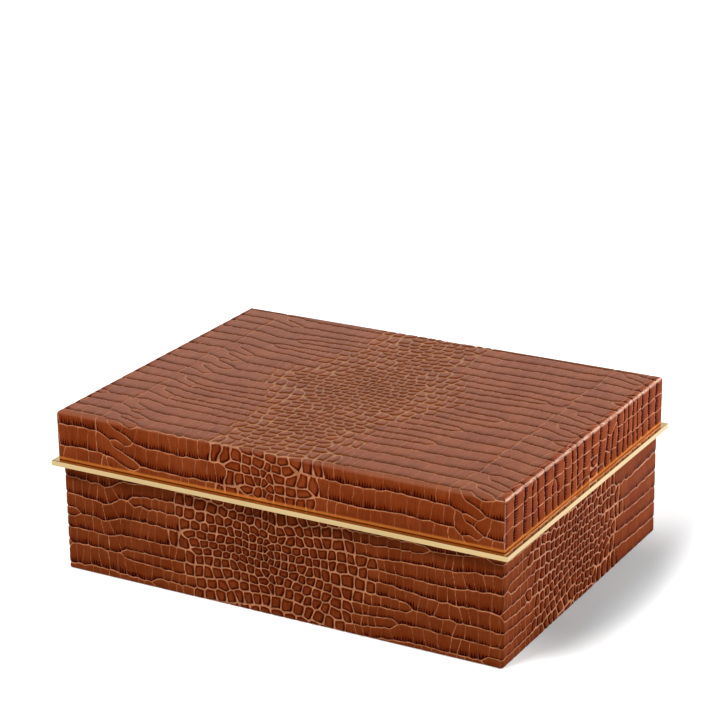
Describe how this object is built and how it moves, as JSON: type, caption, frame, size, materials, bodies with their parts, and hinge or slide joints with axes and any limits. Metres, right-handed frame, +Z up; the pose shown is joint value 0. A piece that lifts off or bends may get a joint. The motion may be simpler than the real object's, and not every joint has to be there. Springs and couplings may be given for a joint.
{
  "type": "leather box",
  "caption": "Low rectangular keepsake box covered in crocodile-embossed leather, with a hinged lid, a brass frame that stands out between lid and base, and a suede-lined inside.",
  "frame": {"origin": "on the floor, under the middle of the box", "axes": "+X along the length to the right, +Y to the back where the hinges are, +Z up"},
  "size_m": [0.305, 0.2284, 0.1034],
  "materials": {
    "cover_leather": "crocodile-embossed, waxed, cognac brown",
    "brass": "polished",
    "board": "plain board",
    "suede": "brushed suede",
    "felt": "felt"
  },
  "bodies": {
    "base": {"base_bottom_panel": "board", "base_front_wall": "board", "base_back_wall": "board", "base_left_wall": "board", "base_right_wall": "board", "base_leather_wrap": "cover_leather", "base_felt": "felt", "base_floor_pad": "suede", "base_lining_front": "suede", "base_lining_back": "suede", "base_lining_left": "suede", "base_lining_right": "suede", "hinge_left_base_leaf": "brass", "hinge_left_pin": "brass", "hinge_right_base_leaf": "brass", "hinge_right_pin": "brass", "hinge_base_screws": "brass"},
    "lid": {"lid_top_panel": "board", "lid_front_rail": "board", "lid_back_rail": "board", "lid_left_rail": "board", "lid_right_rail": "board", "lid_leather_wrap": "cover_leather", "lid_pad": "suede", "lid_lining_front": "suede", "lid_lining_back": "suede", "lid_lining_left": "suede", "lid_lining_right": "suede", "frame_front_bar": "brass", "frame_back_bar": "brass", "frame_left_bar": "brass", "frame_right_bar": "brass", "frame_screws": "brass", "hinge_left_lid_leaf": "brass", "hinge_right_lid_leaf": "brass", "hinge_lid_screws": "brass"}
  },
  "joints": [
    {"name": "lid_hinge", "type": "hinge", "parent": "base", "child": "lid", "pos_m": [0, 0.1115, 0.06825], "axis": [-1, 0, 0], "range_deg": [0, 95]}
  ]
}
